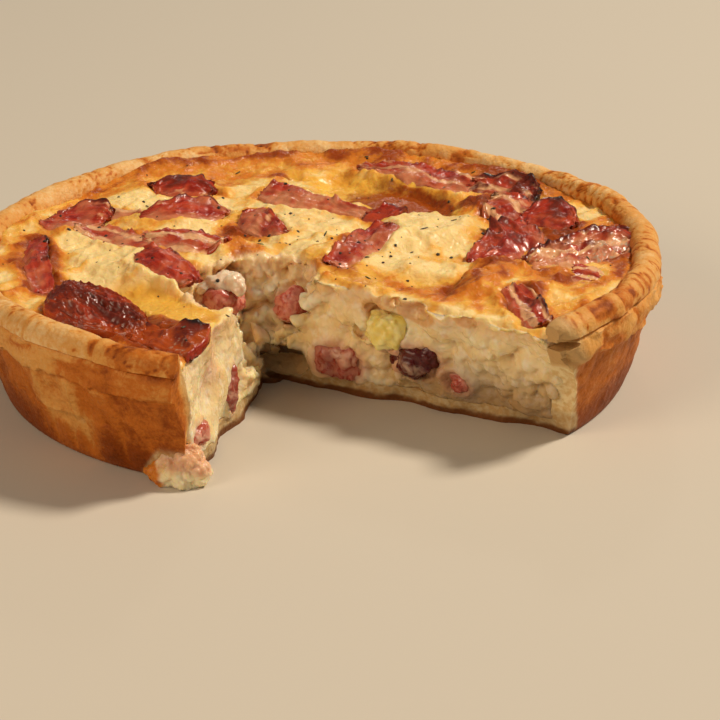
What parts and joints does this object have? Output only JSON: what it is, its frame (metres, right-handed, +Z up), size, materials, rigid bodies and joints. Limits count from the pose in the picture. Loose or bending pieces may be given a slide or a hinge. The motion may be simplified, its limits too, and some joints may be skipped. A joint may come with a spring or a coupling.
{
  "type": "bacon quiche with a slice cut out",
  "caption": "Deep round bacon quiche in a rolled-rim pastry crust, with one wedge cut out so that the set custard, bacon lardons and melted cheese show in the cut faces.",
  "frame": {"origin": "middle of the base, on the surface that the quiche stands on", "axes": "+Z up; the missing wedge opens towards +X -Y, with its right cut face running out near +X and its left cut face near -Y"},
  "size_m": [0.1798, 0.1798, 0.0366],
  "materials": {
    "pastry": "baked shortcrust pastry, matt, golden, toasted along its edges",
    "custard": "baked egg custard and cheese, pale yellow, browned skin on top, moist where cut",
    "bacon": "baked smoked bacon strips, deep red, glossy with fat, charred at the edges",
    "ham": "cooked bacon lardons, pink, moist",
    "cheese": "melted yellow cheese, smooth and slightly shiny"
  },
  "bodies": {
    "root": {"crust": "pastry", "filling": "custard", "bacon_strip_rim_west": "bacon", "bacon_strip_west": "bacon", "bacon_strip_northwest": "bacon", "bacon_curl_northwest": "bacon", "bacon_strip_pale": "bacon", "bacon_strip_red_upper": "bacon", "bacon_strip_red_lower": "bacon", "bacon_blister": "bacon", "bacon_strip_charred": "bacon", "bacon_piece_middle": "bacon", "bacon_strip_long": "bacon", "bacon_strip_peppered": "bacon", "bacon_strip_rim_north": "bacon", "bacon_curl_north": "bacon", "bacon_strip_bright": "bacon", "bacon_strip_east": "bacon", "bacon_strip_flaky": "bacon", "bacon_curl_by_cut": "bacon", "bacon_piece_east": "bacon", "lardon_right_large": "ham", "lardon_right_dark": "ham", "lardon_right_red": "ham", "lardon_right_small": "ham", "lardon_hollow": "ham", "lardon_left_slice": "ham", "lardon_left_low": "ham", "cheese_cube": "cheese"}
  },
  "joints": []
}
